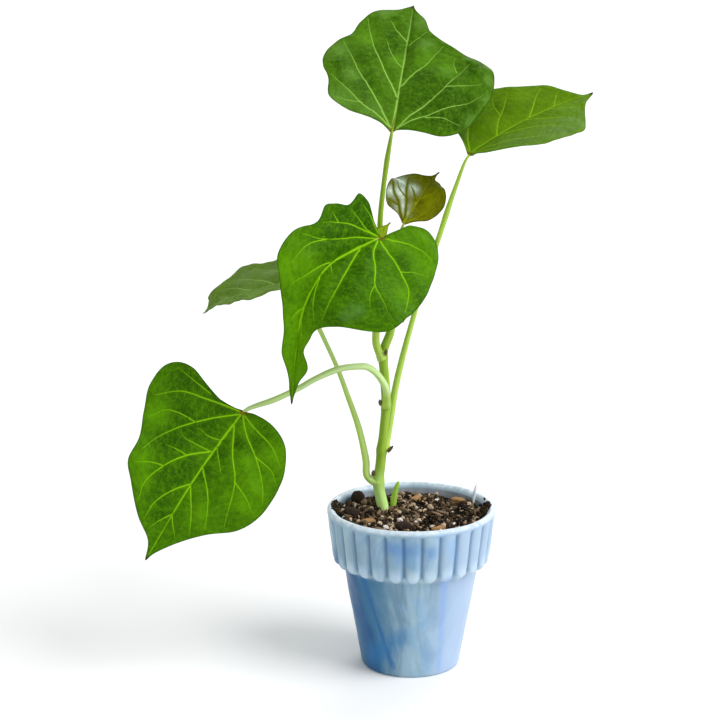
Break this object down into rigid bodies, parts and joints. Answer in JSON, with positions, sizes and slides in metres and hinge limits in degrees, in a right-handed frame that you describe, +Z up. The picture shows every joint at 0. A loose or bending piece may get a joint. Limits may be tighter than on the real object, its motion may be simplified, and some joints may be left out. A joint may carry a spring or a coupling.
{
  "type": "potted sweet potato plant",
  "caption": "Young sweet potato plant with heart-shaped leaves on long petioles, growing from soil in a small ribbed glass pot.",
  "frame": {"origin": "centre of the pot's flat underside", "axes": "+Z up along the pot's axis; -Y towards the plant's front, where the low left leaf and the front leaf hang; +X towards the right leaf"},
  "size_m": [0.158, 0.0885, 0.225],
  "materials": {
    "pot_glass": "glossy opaque marbled pressed glass, pale blue with deeper blue streaks",
    "potting_soil": "damp loose potting mix",
    "root": "matt, pale",
    "stem": "satin, yellow-green",
    "petiole": "satin, yellow-green",
    "leaf": "satin deep green with paler veins",
    "young_leaf": "glossy olive with a bronze edge",
    "bud": "satin",
    "bark": "rough split bark",
    "perlite": "matt, porous"
  },
  "bodies": {
    "root": {"pot": "pot_glass", "soil": "potting_soil", "roots": "root", "main_stem": "stem", "ground_sprout": "stem", "shoot_tip": "young_leaf", "bud_leaf": "young_leaf", "leaf_top_petiole": "petiole", "leaf_top_blade": "leaf", "leaf_right_petiole": "petiole", "leaf_right_blade": "leaf", "leaf_front_petiole": "petiole", "leaf_front_blade": "leaf", "leaf_low_left_petiole": "petiole", "leaf_low_left_blade": "leaf", "leaf_back_petiole": "petiole", "leaf_back_blade": "leaf", "leaf_young_petiole": "petiole", "leaf_young_blade": "young_leaf", "axil_bud_lowest": "bud", "axil_bud_low": "bud", "axil_bud_middle": "bud", "axil_bud_upper": "bud", "clod_back_left": "potting_soil", "clod_left": "potting_soil", "clod_front": "potting_soil", "bark_chip_left": "bark", "bark_chip_front": "bark", "bark_chip_right": "bark", "bark_chip_back": "bark", "perlite_front": "perlite", "perlite_middle": "perlite", "perlite_back": "perlite"}
  },
  "joints": []
}
